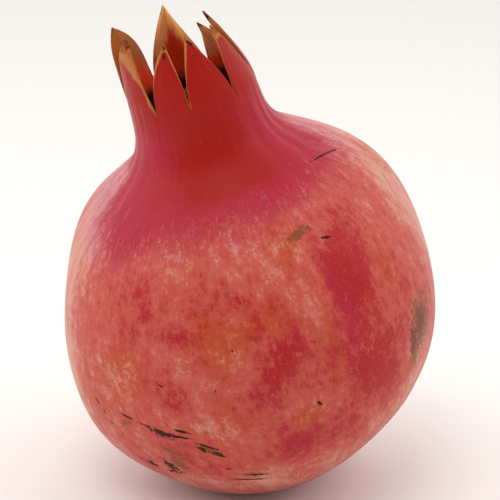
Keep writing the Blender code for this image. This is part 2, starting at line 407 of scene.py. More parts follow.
def soft_noise(points, cell, seed):
    """Smooth random values from -1 to 1 at each point: random numbers stand at the corners of a cubic
    lattice with this cell, and between corners they are blended by a smoothstep along each axis."""
    table = np.random.default_rng(seed).uniform(-1, 1, (32, 32, 32))
    place = np.asarray(points) / cell
    corner = np.floor(place).astype(int)
    part = place - corner
    part = part * part * (3 - 2 * part)
    total = np.zeros(place.shape[:-1])
    for step in itertools.product((0, 1), repeat=3):
        index = (corner + step) % 32
        weight = np.prod(np.where(step, part, 1 - part), axis=-1)
        total += weight * table[index[..., 0], index[..., 1], index[..., 2]]
    return total


def neck_radius(height):
    """Outer radius of the neck: a tube and a flare that falls off exponentially upwards."""
    above_body = np.maximum(height, FLARE_LOWEST) - BODY_TOP
    return NECK_RADIUS + NECK_FLARE * np.exp(-above_body / FLARE_HEIGHT)


def crown_shift(height):
    """How far the neck and crown are set to one side at a height: a smoothstep."""
    return CROWN_SHIFT * smoothstep(SHIFT_START, SHIFT_END, height)


def profile(station, azimuth, notch):
    """Radius and height of the outside: for a station from 0 to 1 a half ellipse from the stem's pole to the
    crown's, with a bell-shaped dimple, rounded into the neck; from 1 to 2 the neck's tube up to the notch."""
    blend = NECK_BLEND + BLEND_SWING * np.cos(np.radians(azimuth - BLEND_WIDEST))
    latitude = np.pi * (np.clip(station, 0, 1) - 0.5)
    below = latitude < 0
    radius = BODY_RADIUS * np.cos(latitude)
    height = np.where(below, BODY_BOTTOM, BODY_TOP) * np.sin(latitude)
    height = height + DIMPLE_DEPTH * bell(radius, DIMPLE_RADIUS) * below
    height = height + np.clip(station - 1, 0, 1) * (notch - BODY_TOP)
    return np.where(below, radius, smooth_max(radius, neck_radius(height), blend)), height


def eased(radius, height, azimuth):
    """Rounds the neck's foot: above the shoulder each row drifts to the mean of its two neighbours, pass
    after pass, most of all in front."""
    front = (1 + np.cos(np.radians(azimuth - EASE_FRONT))) / 2
    ease = (0.27 + 0.63 * front) * smoothstep(EASE_START, EASE_FULL, height)[1:-1]
    for _ in range(EASE_PASSES):
        for line in (radius, height):
            line[1:-1] += ease * ((line[:-2] + line[2:]) / 2 - line[1:-1])
    return radius, height


def directions(azimuth, latitude):
    """Unit vectors at an azimuth and a latitude, in degrees."""
    a, b = np.radians(azimuth), np.radians(latitude)
    return stacked(np.sin(a) * np.cos(b), -np.cos(a) * np.cos(b), np.sin(b))


def fruit_frame():
    """Matrix from the fruit's frame to the world."""
    lean = Matrix.Rotation(LEAN_Y, 4, "Y") @ Matrix.Rotation(LEAN_X, 4, "X")
    return Matrix.Translation(BODY_CENTRE) @ lean


def to_world(points):
    """Points of the fruit's frame in the world."""
    return points @ np.array(fruit_frame().to_3x3()).T + np.array(BODY_CENTRE)


def placed(radius, azimuth, height):
    """Points of a radius, an azimuth and a height: bulges are bells of the angle from their middle, pushed
    outwards, then the neck is shifted and the fruit leaned."""
    turn = np.radians(azimuth)
    points = stacked(radius * np.sin(turn), -radius * np.cos(turn), height)
    outward = points / np.maximum(np.linalg.norm(points, axis=-1, keepdims=True), MERGE)
    bulge = np.zeros(points.shape[:-1])
    for azimuth_of, latitude, spread, rise in BULGES:
        away = np.degrees(np.arccos(np.clip(outward @ directions(azimuth_of, latitude), -1, 1)))
        bulge += rise * bell(away, spread)
    shift = crown_shift(points[..., 2])
    points = points + outward * bulge[..., None]
    points[..., 0] += shift
    return to_world(points)


def relief(radius, azimuth, height, look):
    """What the rind's fine relief adds to a radius: folds of the neck, each a bell of the azimuth times a
    bell of the height, and slow waves drawn out along the meridians."""
    added = np.zeros(np.broadcast(radius, azimuth, height).shape)
    reach = bell(height - FOLD_HEIGHT, FOLD_REACH)
    for turn, width, depth in FOLDS:
        added = added - look.fold_depth * depth * bell(signed(azimuth - turn), width) * reach
    around = BODY_RADIUS * directions(azimuth, 0 * height)
    around[..., 2] = height * DRAWN_OUT
    fine = soft_noise(around, PUCKER_CELL, 3) * smoothstep(0.030, 0.045, height)
    slow = soft_noise(around, WAVE_CELL, 2)
    clear = smoothstep(0.001, 0.008, radius)
    return (added + look.wave_depth * (slow + 0.5 * fine)) * clear


class Surface:
    """Grids of points, each with values of its own, that become one welded mesh."""

    def __init__(self):
        self.points, self.faces, self.values, self.count = [], [], {}, 0

    def add(self, points, flip=False, **values):
        """Lays a grid of points, rows by columns, and its faces, facing rows cross columns unless flipped."""
        rows, columns = points.shape[:2]
        index = self.count + np.arange(rows * columns).reshape(rows, columns)
        corners = [index[:-1, :-1], index[:-1, 1:], index[1:, 1:], index[1:, :-1]]
        quads = np.stack(corners[::-1] if flip else corners, axis=-1).reshape(-1, 4)
        self.faces.append(np.concatenate([quads[:, [0, 1, 2]], quads[:, [0, 2, 3]]]))
        self.points.append(points.reshape(-1, 3))
        for name, value in values.items():
            size = (rows, columns, 3) if np.ndim(value) and np.shape(value)[-1] == 3 else (rows, columns)
            spread = np.broadcast_to(value, size).reshape(rows * columns, -1)
            self.values.setdefault(name, []).append(spread)
        self.count += rows * columns

    def build(self, name, closed=True):
        """One mesh: points closer than a micron become one, and faces that lose a side are dropped. A
        closed one has to face outwards, which its volume tells."""
        points = np.concatenate(self.points)
        keys = np.round(points / MERGE).astype(np.int64)
        _, first, index = np.unique(keys, axis=0, return_index=True, return_inverse=True)
        faces = index.reshape(-1)[np.concatenate(self.faces)]
        whole = (faces[:, 0] != faces[:, 1]) & (faces[:, 1] != faces[:, 2]) & (faces[:, 2] != faces[:, 0])
        faces, points = faces[whole], points[first]
        mesh = bpy.data.meshes.new(name)
        mesh.vertices.add(len(points))
        mesh.vertices.foreach_set("co", points.astype(np.float32).ravel())
        mesh.loops.add(faces.size)
        mesh.loops.foreach_set("vertex_index", faces.astype(np.int32).ravel())
        mesh.polygons.add(len(faces))
        mesh.polygons.foreach_set("loop_start", np.arange(0, faces.size, 3, dtype=np.int32))
        mesh.update(calc_edges=True)
        for label, parts in self.values.items():
            values = np.concatenate(parts)[first].astype(np.float32)
            kind, field = ("FLOAT", "value") if values.shape[1] == 1 else ("FLOAT_VECTOR", "vector")
            mesh.attributes.new(label, kind, "POINT").data.foreach_set(field, values.ravel())
        mesh.validate()
        mesh.shade_smooth()
        if closed and np.linalg.det(points[faces]).sum() <= 0:
            raise RuntimeError(f"{name} is inside out")
        return bpy.data.objects.new(name, mesh)


def show(piece, node, material):
    """Puts a piece in the scene in place of its node, after checking that it keeps the node's place."""
    bpy.context.scene.collection.objects.link(piece)
    piece.data.materials.append(material)
    places = np.empty(len(piece.data.vertices) * 3, np.float32)
    piece.data.vertices.foreach_get("co", places)
    places = places.reshape(-1, 3)
    off = np.abs(np.array([places.min(0), places.max(0)]) - np.array(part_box(node))).max()
    if off > MOST_DEPARTURE:
        raise RuntimeError(f"{piece.name} departs {off * 1000:.1f} mm from {node}")
    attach(piece, "root")
    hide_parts(node)


def fill(tree, node, inputs):
    """Fills a node's inputs, each from a value or from another node's socket."""
    for name, value in inputs.items():
        if isinstance(value, bpy.types.NodeSocket):
            tree.links.new(value, node.inputs[name])
        else:
            node.inputs[name].default_value = value


def add(tree, kind, inputs=None, out=0, **settings):
    """Adds a shader node, sets it, fills its inputs, and gives one of its outputs."""
    node = tree.nodes.new("ShaderNode" + kind)
    for name, value in settings.items():
        setattr(node, name, value)
    fill(tree, node, inputs or {})
    return node.outputs[out]


def carried(tree, name):
    """The three values that the points carry under one name, each as a socket."""
    values = add(tree, "Attribute", out="Vector", attribute_name=name)
    return add(tree, "SeparateXYZ", {0: values}).node.outputs


def new_material(name):
    """A material with its node tree, its Principled shader and nothing else."""
    material = bpy.data.materials.new(name)
    material.use_nodes = True
    tree = material.node_tree
    return material, tree, tree.nodes["Principled BSDF"]


def weighed(tree, terms, offset=0.0):
    """The sum of several sockets, each times its weight, plus an offset."""
    total = offset
    for socket, weight in terms:
        total = add(tree, "Math", {0: socket, 1: weight, 2: total}, operation="MULTIPLY_ADD")
    return total


def layered(tree, base, *layers):
    """Colours laid over a base. Each layer is a colour and the socket that masks it. With two levels after
    them, the mask is 0 at the first and 1 at the second, smooth between them, and a share that follows
    thins it."""
    for over, mask, *levels in layers:
        if levels:
            low, high, share = (*levels, 1.0)[:3]
            span = {"Value": mask, "From Min": low, "From Max": high, "To Max": share}
            mask = add(tree, "MapRange", span, interpolation_type="SMOOTHSTEP")
        base = add(tree, "Mix", {0: mask, 6: base, 7: over}, out=2, data_type="RGBA")
    return base


def fibres(tree, grain, across, along, detail, shift=0.0):
    """Noise drawn out along the meridians: its features are across wide and along long, in metres."""
    scale = (1 / across, 1 / across, 1 / along)
    at = add(tree, "Mapping", {"Vector": grain, "Location": (shift, shift, shift), "Scale": scale})
    return add(tree, "TexNoise", {"Vector": at, "Scale": 1.0, "Detail": detail, "Roughness": 0.6})


def rind_point(azimuth, latitude):
    """The point of the rind at an azimuth and a latitude, read off the profile."""
    stations = np.linspace(0.02, 1.4, 1200)
    radius, height = profile(stations, azimuth, MEAN_NOTCH)
    seen = np.degrees(np.arctan2(height, radius))
    at = np.interp(latitude, seen, stations)
    radius, height = profile(at, azimuth, MEAN_NOTCH)
    return Vector(placed(radius, azimuth, height))


# Marks on the rind, each from one azimuth and latitude to another, or on the crown from one lobe, rise and
# place across to another: half width, how far it breaks up into streaks along it, and how far into specks
MARKS = (
    ("dark", (0, 0.88, 0.5), (0, 0.77, 0.45), 0.00040, 0.0, 0.4),
    ("dark", (0, 0.98, 0.5), (0, 0.90, 0.5), 0.00018, 0.0, 0.0),
    ("dark", (1, 0.93, 0.30), (1, 0.85, 0.90), 0.00022, 0.0, 0.3),
    ("dark", (1, 0.76, 0.40), (1, 0.70, 0.45), 0.00030, 0.0, 0.8),
    ("dark", (7, 0.93, 0.80), (7, 0.86, 0.70), 0.00040, 0.0, 0.5),
    ("dark", (58, 54.8), (85.5, 48.2), 0.00028, 0.4, 0.0),
    ("dark", (37.6, 34.9), (40.9, 33.9), 0.00036, 0.0, 0.0),
    ("dark", (-46, -4.0), (-41.5, -5.4), 0.00042, 0.3, 0.0),
    ("dark", (-40.5, -5.9), (-34.5, -7.3), 0.00024, 0.2, 0.0),
    ("dark", (-37.0, -8.0), (-28.0, -10.4), 0.00150, 0.0, 0.5),
    ("dark", (-28.0, -7.4), (-22.4, -9.3), 0.00048, 0.0, 0.2),
    ("dark", (-34, -8.4), (-22.6, -11.6), 0.00045, 0.2, 0.0),
    ("dark", (-22.4, -13.0), (-16.0, -16.6), 0.00045, 0.3, 0.2),
    ("dark", (-22.8, -14.8), (-19.4, -17.4), 0.00075, 0.0, 0.7),
    ("dark", (-18.6, -17.3), (-15.3, -20.1), 0.00062, 0.0, 0.3),
    ("dark", (-48.0, -23.8), (-44.4, -27.3), 0.00130, 0.0, 0.7),
    ("dark", (-39.8, -21.6), (-37.0, -27.8), 0.00140, 0.0, 0.7),
    ("dark", (-41.4, -28.8), (-36.0, -28.8), 0.00125, 0.0, 0.7),
    ("dark", (-20.0, -32.2), (-4.5, -35.8), 0.00045, 0.5, 0.0),
    ("dark", (-12.5, -30.8), (-7.0, -32.4), 0.00060, 0.0, 0.7),
    ("dark", (-17.8, -25.7), (-16.2, -26.4), 0.00030, 0.0, 0.0),
    ("dark", (-57, -0.9), (-55.6, -3.0), 0.00035, 0.0, 0.0),
    ("dark", (-54.6, -4.5), (-53.8, -5.8), 0.00030, 0.0, 0.0),
    ("dark", (-53.2, -8.3), (-52.6, -9.4), 0.00025, 0.0, 0.0),
    ("dark", (16.2, -8.2), (17.2, -9.6), 0.00042, 0.0, 0.0),
    ("dark", (-10.8, 4.8), (-10.6, 4.2), 0.00020, 0.0, 0.0),
    ("dark", (-2.9, 15.5), (-2.8, 14.9), 0.00020, 0.0, 0.0),
    ("dark", (-27.4, 7.8), (-26.3, 7.0), 0.00025, 0.0, 0.0),
    ("umber", (55.0, -5.0), (53.2, -14.0), 0.00170, 0.0, 0.6),
    ("umber", (63.5, -2.0), (58.5, -11.0), 0.00330, 0.0, 0.7),
    ("russet", (63.6, -0.6), (57.0, -12.0), 0.00640, 0.0, 0.5),
    ("russet", (56.0, -8.0), (53.6, -18.5), 0.00230, 0.5, 0.2),
    ("russet", (26.3, 38.8), (33.8, 39.6), 0.00120, 0.0, 0.4),
    ("russet", (32.5, 40.4), (37.0, 38.4), 0.00085, 0.0, 0.6),
    ("russet", (-34.8, -15.0), (-28.5, -19.8), 0.00160, 0.0, 0.65),
    ("russet", (-33.6, -19.8), (-33.2, -27.0), 0.00210, 0.0, 0.6),
    ("russet", (-22.8, -13.8), (-16.6, -18.8), 0.00130, 0.3, 0.5),
    ("russet", (-47.9, -8.6), (-43.6, -6.2), 0.00100, 0.0, 0.75),
    ("russet", (-15.5, -29.6), (-4.5, -32.2), 0.00090, 0.4, 0.4),
    ("pale", (90, 36), (76, 15), 0.00045, 0.0, 0.0),
    ("russet", (91, 35), (81, 23), 0.00025, 0.5, 0.0),
    ("russet", (150, -5), (162, -13), 0.00160, 0.3, 0.4),
    ("dark", (196, 22), (214, 18), 0.00060, 0.9, 0.2),
    ("russet", (-140, 8), (-128, -2), 0.00200, 0.2, 0.4),
    ("dark", (118, -24), (124, -27), 0.00070, 0.3, 0.4),
    ("dark", (-168, -30), (-160, -30), 0.00080, 0.5, 0.4),
)

# Marks: how far they reach into the rind, how far noise shifts their edges, and how far it breaks them up
MARK_DEPTH, RAGGED, BREAKING = 0.004, 1.1, 3.2

# How strongly each kind of mark covers the skin
MARK_STRENGTH = {"dark": 1.0, "umber": 0.50, "russet": 0.85, "pale": 0.6}


def crown_point(index, rise, across):
    """The point of a lobe's outer face at a rise and a place across."""
    radius, azimuth, height, _, _ = lobe_form(index, rise, across, 0.0)
    return Vector(placed(radius, azimuth, height))


def mark_mask(tree, position, wobble, strength, start, end, half_width, streaked, specked):
    """A mask of one mark: an ellipsoid that lies along the rind, its edge made ragged by noise. Noise drawn
    out along the mark and fine noise are added to the distance from its middle, so it thins out into
    streaks or specks."""
    a, b = [crown_point(*place) if len(place) == 3 else rind_point(*place) for place in (start, end)]
    middle = (a + b) / 2
    along = (b - a).normalized()
    outward = (middle - Vector(BODY_CENTRE)).normalized()
    side = outward.cross(along).normalized()
    turn = Matrix((along, side, along.cross(side))).transposed()
    half_length = (b - a).length / 2 + half_width / 2
    frame_of = {
        "Vector": position,
        "Location": middle,
        "Rotation": turn.to_euler(),
        "Scale": (half_length, half_width, MARK_DEPTH),
    }
    local = add(tree, "Mapping", frame_of, vector_type="TEXTURE")
    shaken = {0: wobble, 1: (RAGGED, RAGGED, RAGGED), 2: local}
    ragged = add(tree, "VectorMath", shaken, operation="MULTIPLY_ADD")
    away = add(tree, "VectorMath", {0: ragged}, out="Value", operation="LENGTH")
    broken = max(streaked, specked)
    terms = [(away, 1 - 0.3 * broken)]
    if streaked:
        at = add(tree, "Mapping", {"Vector": local, "Scale": (1.3, 2.6 * half_width / 0.0010 + 1, 0.3)})
        lines = add(tree, "TexNoise", {"Vector": at, "Scale": 1.0, "Detail": 3.0, "Roughness": 0.7})
        terms.append((lines, BREAKING * streaked))
    if specked:
        specks = add(tree, "TexNoise", {"Vector": position, "Scale": 950.0, "Detail": 2.5, "Roughness": 0.6})
        terms.append((specks, BREAKING * specked))
    spread = weighed(tree, terms, 0.50 * broken - BREAKING / 2 * (streaked + specked))
    span = {"Value": spread, "From Min": 1.05, "From Max": 0.75, "To Max": strength}
    return add(tree, "MapRange", span, interpolation_type="SMOOTHSTEP")


def rind_material(look):
    """Leathery fruit rind with a thin wax bloom: satin, mottled along the meridians, with corky marks, and
    dry and papery at the crown's edges and inside."""
    material, tree, shader = new_material("waxy leathery rind")
    grain = add(tree, "Attribute", out="Vector", attribute_name="grain")
    position = add(tree, "TexCoord", out="Object")
    crimson_of, orange_of, zone = carried(tree, "tone")
    dry, inside, level = carried(tree, "crown")

    # Patterns, from blotches of about 10 mm to fibres of half a millimetre
    patches = fibres(tree, grain, 0.0085, 0.0130, 4.0)
    streaks = fibres(tree, grain, 0.0024, 0.0065, 4.0, 3.7)
    thin = fibres(tree, grain, 0.0009, 0.0024, 3.0, 8.1)
    broad = fibres(tree, grain, 0.0160, 0.0200, 2.0, 5.3)
    mottle = add(tree, "TexNoise", {"Vector": position, "Scale": 480.0, "Detail": 5.0, "Roughness": 0.75})
    grit = add(tree, "TexNoise", {"Vector": position, "Scale": 2300.0, "Detail": 2.0, "Roughness": 0.6})
    wobble = add(tree, "TexNoise", {"Vector": position, "Scale": 1100.0, "Detail": 3.0}, out="Color")
    wobble = add(tree, "VectorMath", {0: wobble, 1: (0.5, 0.5, 0.5)}, operation="SUBTRACT")

    # Body: from pale flecks over the salmon ground to crimson, warmer where sunned. A noise's mean is a
    # half, so half of the noises' weights are taken off
    redness = weighed(
        tree,
        [(crimson_of, 0.50), (patches, 1.3), (streaks, 0.8), (thin, 0.7), (mottle, 1.7), (grit, 0.7)],
        0.32 - (1.3 + 0.8 + 0.7 + 1.7 + 0.7) / 2,
    )
    warmth = weighed(tree, [(orange_of, 0.5), (broad, 1.2), (mottle, 0.8)], -1.0)
    ground = layered(tree, look.ground, (look.orange, warmth, 0.05, 0.55, 0.9))
    red = layered(tree, look.crimson, (look.magenta, broad, 0.42, 0.62, 0.6))
    # Just below the neck the pale colour turns to wax bloom with a painted sheen
    pale = layered(
        tree, look.pale, (look.ground, streaks, 0.40, 0.66, 0.4), (look.bloom_and_sheen, zone, 0.02, 0.20)
    )
    body = layered(tree, pale, (ground, redness, -0.45, 0.25), (red, redness, 0.24, 0.85))

    # Neck and the outside of the crown: deep red in front, cooler on its sides, with pale streaks of wax
    # bloom and painted sheen away from the front
    depth = weighed(tree, [(orange_of, 1.0), (patches, 0.5), (mottle, 0.7)], -0.50)
    lines = weighed(tree, [(thin, 1.0), (streaks, 1.2), (mottle, 0.8), (orange_of, -0.9)], -1.3)
    neck = layered(
        tree, look.magenta, (look.deep_red, depth, 0.05, 1.05), (look.bloom_and_sheen, lines, 0.05, 0.55, 0.28)
    )
    ring = weighed(tree, [(zone, 1.0), (streaks, 0.8), (thin, 0.8), (mottle, 0.9), (grit, 0.5)], -1.5)
    flecks = weighed(tree, [(grit, 1.0), (thin, 0.5), (mottle, 0.5), (zone, -0.12)])
    skin = layered(tree, body, (neck, ring, 0.10, 0.80), (pale, flecks, 1.05, 1.45, 0.35))

    # Dry margins and tips, then the inside of the crown from the cup's floor up to its tips, with painted
    # shade low in the cup
    dry_edge = weighed(tree, [(dry, 1.0), (thin, 0.5), (mottle, 0.3)], -0.4)
    skin = layered(
        tree,
        skin,
        (look.tan, dry_edge, 0.25, 0.50),
        (look.ochre, dry_edge, 0.50, 0.80),
        (look.brown, dry_edge, 1.02, 1.20),
    )
    up = weighed(tree, [(level, 1.0), (streaks, 0.35), (thin, 0.25), (mottle, 0.2)], -0.4)
    # On the inner faces, dry carries each lobe's painted light, so the pale top colour is laid on the lobes
    # painted as lit
    top = layered(tree, look.ochre, (look.husk_painted_light, dry))
    # Painted shade: below the orange-red lining, the cup colour darkens the inside towards the cup's floor
    lining = layered(
        tree,
        look.cup,
        (look.lining, up, 0.85, 1.10),
        (top, up, 1.15, 1.45),
        (look.brown, up, 1.85, 1.96),
    )
    base = layered(tree, skin, (lining, inside, 0.45, 0.75))

    # Corky marks
    marks = dict.fromkeys(MARK_STRENGTH, 0.0)
    for kind, *mark in MARKS:
        mask = mark_mask(tree, position, wobble, MARK_STRENGTH[kind], *mark)
        marks[kind] = add(tree, "Math", {0: mask, 1: marks[kind]}, operation="MAXIMUM")
    cork = layered(tree, look.cork, (look.ochre, mottle, 0.45, 0.65, 0.7))
    base = layered(
        tree,
        base,
        (look.pale, marks["pale"]),
        (cork, marks["russet"]),
        (look.brown, marks["umber"]),
        (look.brown, marks["dark"]),
    )

    # Gloss and fine relief: 0.03 mm pebbling and fibres. The marks stay out of the bump, because it works its
    # height out three times over, and Cycles draws the rind black when a material outgrows its stack
    height = weighed(tree, [(mottle, 0.6), (thin, 0.35), (grit, 0.12)])
    finish = {
        "Base Color": base,
        "Roughness": weighed(tree, [(mottle, 0.18), (dry, 0.25), (inside, 0.22), (marks["dark"], 0.2)], 0.34),
        "IOR": 1.45,
        "Specular IOR Level": 0.20,
        "Sheen Weight": 0.10,
        "Sheen Roughness": 0.25,
        "Normal": add(tree, "Bump", {"Height": height, "Distance": 0.00012, "Strength": 0.8}),
    }
    fill(tree, shader, finish)
    return material


def tones_at(azimuth, radius, height, outward):
    """How crimson and how orange the rind is, as a sum of bells in azimuth and latitude, and how far it is
    the neck's colour, as a smoothstep of the height."""
    latitude = np.degrees(np.arctan2(height, radius))
    draw = np.random.default_rng(SPARE_SEED)
    spare = np.stack(
        [
            draw.uniform(84, 276, SPARE_TONES),
            np.degrees(np.arcsin(draw.uniform(-0.95, 0.65, SPARE_TONES))),
            draw.uniform(5, 12, SPARE_TONES),
            draw.uniform(5, 13, SPARE_TONES),
            draw.uniform(-0.8, 1.1, SPARE_TONES),
            draw.choice([0, 0, 0.5, 1.0], SPARE_TONES),
        ],
        axis=1,
    )
    crimson, orange = np.zeros(latitude.shape), np.zeros(latitude.shape)
    for turn, up, wide, tall, red, warm in np.concatenate([np.array(TONES), spare]):
        across = signed(azimuth - turn) * np.cos(np.radians(latitude))
        patch = bell(across, wide) * bell(latitude - up, tall)
        crimson += red * patch
        orange += warm * patch

    # The neck's colour comes lower on the left, and higher up behind, which leaves the shoulders behind the
    # neck pale with wax bloom and a painted sheen; it is warm in front and at the lobes
    front = bell(signed(azimuth - FRONT), 36) * (1 - 0.5 * smoothstep(0.047, 0.060, height))
    drop = LEFT_DROP * bell(signed(azimuth - LEFT), LEFT_WIDTH)
    zone = smoothstep(NECK_START, NECK_FULL, height + drop + 0.0012 * soft_noise(outward, 0.5, 9))
    neck_warmth = 0.2 + 0.8 * front * smoothstep(0.0340, 0.0385, height)
    neck_warmth += 0.65 * (1 - front) * smoothstep(0.047, 0.056, height)
    orange = orange * (1 - zone) + zone * neck_warmth
    # Behind the neck the crimson is held off the shoulders, leaving them in pale bloom with a painted sheen
    behind = smoothstep(66, 98, np.abs(signed(azimuth - FRONT)))
    zone = zone * (1 - 0.8 * behind * smoothstep(0.0425, 0.0385, height))
    return np.stack([crimson, orange, zone], axis=-1)


def rind_grid(radius, azimuth, height, walked, dry, inside, level):
    """The values that the rind's material reads: its place on a tube, along which the fibres are drawn, its
    tones, and its dryness (on the lobes' inner faces, their painted light), side and level in the crown."""
    azimuth, radius, height = np.broadcast_arrays(azimuth, radius, height)
    grain = BODY_RADIUS * directions(azimuth, 0)
    grain[..., 2] = walked
    outward = directions(azimuth, np.degrees(np.arctan2(height, radius)))
    crown = stacked(dry + 0 * azimuth, inside, level)
    return {"grain": grain, "tone": tones_at(azimuth, radius, height, outward), "crown": crown}


def lobe_edges(index):
    """The azimuth and height of the notch on a lobe's left and of the one on its right."""
    left_azimuth, left_height = NOTCHES[index]
    right_azimuth, right_height = NOTCHES[(index + 1) % len(NOTCHES)]
    if right_azimuth < left_azimuth:
        right_azimuth += 360
    return left_azimuth, left_height, right_azimuth, right_height


def lobe_columns(index):
    """How many columns of points a lobe has, from notch to notch."""
    left_azimuth, _, right_azimuth, _ = lobe_edges(index)
    return round((right_azimuth - left_azimuth) / COLUMN_DEGREES) + 1


def wall_at_notches(across, span):
    """Thickness of the crown's wall at the notches' height: thinned by a bell of the angle to the notch."""
    away = np.clip(np.minimum(across, 1 - across), 0, 1) * span
    return WALL_AT_NOTCH * (1 - THIN_NOTCH * bell(away, NOTCH_DEGREES))


def lobe_form(index, rise, across, through, look=None):
    """Points and values of one lobe. Rise runs from the notches' height to the tip, across from the left
    edge to the right, and through from the outside to the inside. The edges close on the tip by powers of
    the rise, the radius runs from the neck's to the tip's by another, and wrinkles run up the lobe."""
    tip_azimuth, tip_height, tip_radius, full_left, full_right, curl = LOBES[index]
    left_azimuth, left_height, right_azimuth, right_height = lobe_edges(index)
    azimuth = left_azimuth + (right_azimuth - left_azimuth) * across
    notch = left_height + (right_height - left_height) * across
    left = EDGE_TAPER * rise + (1 - EDGE_TAPER) * rise**full_left
    right = EDGE_TAPER * rise + (1 - EDGE_TAPER) * rise**full_right
    azimuth = azimuth + (tip_azimuth - azimuth) * (left + (right - left) * across)
    height = notch + (tip_height - notch) * rise
    outer = neck_radius(notch) + (tip_radius - neck_radius(notch)) * rise**curl
    arch = np.sin(np.pi * np.clip(across, 0, 1))
    foot = wall_at_notches(across, right_azimuth - left_azimuth)
    wall = foot + (WALL_AT_TIP - foot) * rise
    wall = wall * (1 - 0.6 * rise**14)
    wall = wall * (1 - THIN_MARGIN * (1 - arch**0.7) * smoothstep(0.0, 0.3, rise))

    # Wrinkles that grow towards the dry tip, deeper inside
    lengthwise = stacked(across * 0.010, index * 0.05, rise * 0.004)
    wrinkle = soft_noise(lengthwise, WRINKLE_CELL, 21) * (0.15 + rise**1.5)
    wrinkle = wrinkle * np.sin(np.pi * np.clip(rise, 0, 1)) ** 0.3
    clear = smoothstep(0, 0.12, rise) * (1 - rise**8)
    radius = outer - wall * through
    if look:
        radius = radius + look.wrinkle_depth * wrinkle * clear * (0.6 + 0.8 * through)
        low = 1 - smoothstep(0, 0.3, rise)
        radius = radius + relief(outer, azimuth, height, look) * (1 - through) * low

    # Dryness outside: the larger of the tip's and the margins'
    dry_tip, dry_left, dry_right = DRYING[index]
    narrowed = 0.12 + 0.88 * smoothstep(0.35, 0.80, rise)
    width = np.radians(right_azimuth - left_azimuth) * outer * (1 - (left + (right - left) * 0.5))
    from_tip = (1 - rise) * (tip_height - notch)
    left_margin = bell(across * width, dry_left * narrowed)
    right_margin = bell((1 - across) * width, dry_right * narrowed)
    margin = np.maximum(left_margin, right_margin)
    tip = 1.1 * (1 - smoothstep(0.15, 1.0, from_tip / dry_tip))
    dry = np.maximum(0.66 * margin * smoothstep(0.02, 0.2, rise), tip)
    # The first value is the inner face's painted light, carried as its dryness
    husk_painted_light, red = LININGS[index]
    level = 1 + rise - red * arch**2
    level = np.maximum(level, np.minimum(1 + rise, LOWEST_RED))
    return radius, azimuth, height, np.where(through > 0.5, husk_painted_light, dry), level + 0 * radius


def add_lobe(surface, index, top_of_neck, look):
    """One lobe: its outside, its inside and its two rims. A rim goes from the outside to the inside by half
    a turn, and bulges sideways by the sine of it, so the edge is round."""
    left_azimuth, _, right_azimuth, _ = lobe_edges(index)
    rise = np.linspace(0, 1, LOBE_ROWS + 1)[:, None]
    _, tip_height, tip_radius, full_left, full_right, _ = LOBES[index]
    outer = NECK_RADIUS + (tip_radius - NECK_RADIUS) * rise
    taken = EDGE_TAPER * rise + (1 - EDGE_TAPER) * (rise**full_left + rise**full_right) / 2
    width = np.radians(right_azimuth - left_azimuth) * outer * (1 - taken)
    foot = wall_at_notches(0.0, 0.0)
    wall = (foot + (WALL_AT_TIP - foot) * rise) * (1 - THIN_MARGIN * smoothstep(0.0, 0.3, rise))
    inset = np.minimum(0.45 * wall / np.maximum(width, MERGE), 0.40) * smoothstep(0.0, 0.10, rise)
    across = inset + (1 - 2 * inset) * np.linspace(0, 1, lobe_columns(index))
    walked = top_of_neck + (tip_height - MEAN_NOTCH) * rise

    for through in (0.0, 1.0):
        radius, azimuth, height, dry, level = lobe_form(index, rise, across, through, look)
        values = rind_grid(radius, azimuth, height, walked, dry, through, level)
        surface.add(placed(radius, azimuth, height), flip=through == 1.0, **values)
    turn = np.linspace(0, np.pi, RIM_STEPS + 1)
    for side in (0, 1):
        at = inset * (1 - np.sin(turn))
        at = at if side == 0 else 1 - at
        through = (1 - np.cos(turn)) / 2
        radius, azimuth, height, dry, level = lobe_form(index, rise, at, through, look)
        rim = 0.35 if DRYING[index][1 + side] > DRY_RIM else 0.18
        dry = np.maximum(dry, rim + 0.20 * smoothstep(0.80, 0.95, 1 - rise) + 0 * at)
        values = rind_grid(radius, azimuth, height, walked, dry, 0.5 * through, level)
        surface.add(placed(radius, azimuth, height), flip=side == 0, **values)


